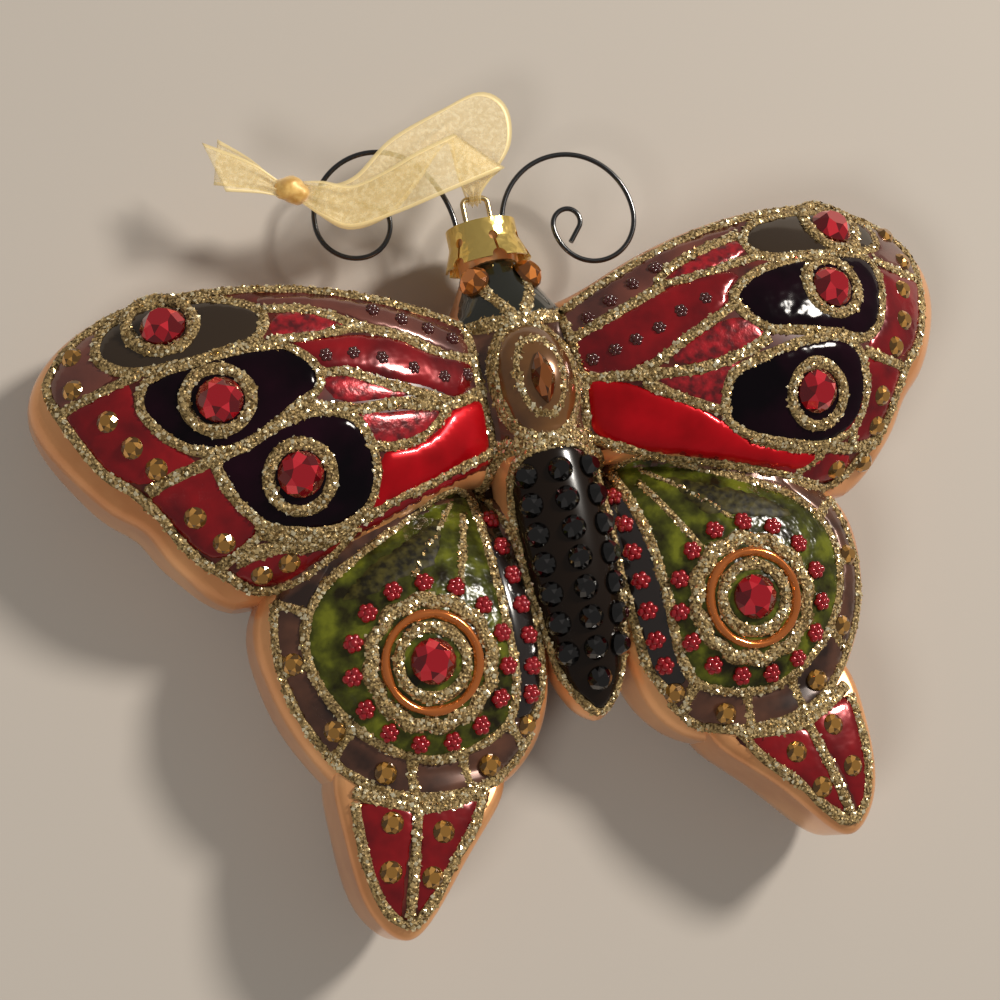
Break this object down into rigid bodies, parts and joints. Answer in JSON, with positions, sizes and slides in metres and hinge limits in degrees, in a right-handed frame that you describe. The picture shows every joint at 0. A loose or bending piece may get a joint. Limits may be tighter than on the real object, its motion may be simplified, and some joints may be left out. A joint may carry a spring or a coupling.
{
  "type": "butterfly ornament",
  "caption": "Hollow blown-glass butterfly ornament with jewelled painted wings, sprung gold cap, curled wire antennae and a sheer hanging ribbon.",
  "frame": {"origin": "On the flat back, under the middle of the thorax, where the ornament lies on a table.", "axes": "+Z out of the painted front, +Y along the body to the head and hanging loop, +X to the right wing tip as the front is seen."},
  "size_m": [0.1432, 0.1215, 0.0279],
  "materials": {
    "painted_glass": "lacquered gloss",
    "red_stone": "faceted, foil-backed",
    "amber_stone": "faceted, foil-backed",
    "black_stone": "faceted, gloss",
    "eye_stone": "faceted, gloss",
    "glitter_line": "glitter set in clear glue",
    "gold_cap": "polished, embossed",
    "spring_wire": "bright",
    "dark_wire": "gloss enamel",
    "gold_ribbon": "sheer woven"
  },
  "bodies": {
    "ornament": {"glass_shell": "painted_glass", "thorax_stone": "amber_stone", "abdomen_stones": "black_stone", "left_upper_stone": "red_stone", "left_middle_stone": "red_stone", "left_lower_stone": "red_stone", "left_hindwing_stone": "red_stone", "right_upper_stone": "red_stone", "right_middle_stone": "red_stone", "right_lower_stone": "red_stone", "right_hindwing_stone": "red_stone", "left_forewing_amber_stones": "amber_stone", "left_hindwing_amber_stones": "amber_stone", "left_tail_amber_stones": "amber_stone", "right_forewing_amber_stones": "amber_stone", "right_hindwing_amber_stones": "amber_stone", "right_tail_amber_stones": "amber_stone", "left_eye_stone": "eye_stone", "right_eye_stone": "eye_stone", "left_forewing_lines": "glitter_line", "left_hindwing_rings": "glitter_line", "right_forewing_lines": "glitter_line", "right_hindwing_rings": "glitter_line"},
    "cap": {"crown_cap": "gold_cap", "hanger_wire": "spring_wire", "left_antenna": "dark_wire", "right_antenna": "dark_wire"},
    "ribbon": {"hanging_ribbon": "gold_ribbon"}
  },
  "joints": [
    {"name": "cap_pull", "type": "slide", "parent": "ornament", "child": "cap", "axis": [0, 1, 0], "range_m": [0, 0.012]},
    {"name": "ribbon_swing", "type": "hinge", "parent": "cap", "child": "ribbon", "pos_m": [0, 0.03, 0.0105], "axis": [1, 0, 0], "range_deg": [0, 80]}
  ]
}
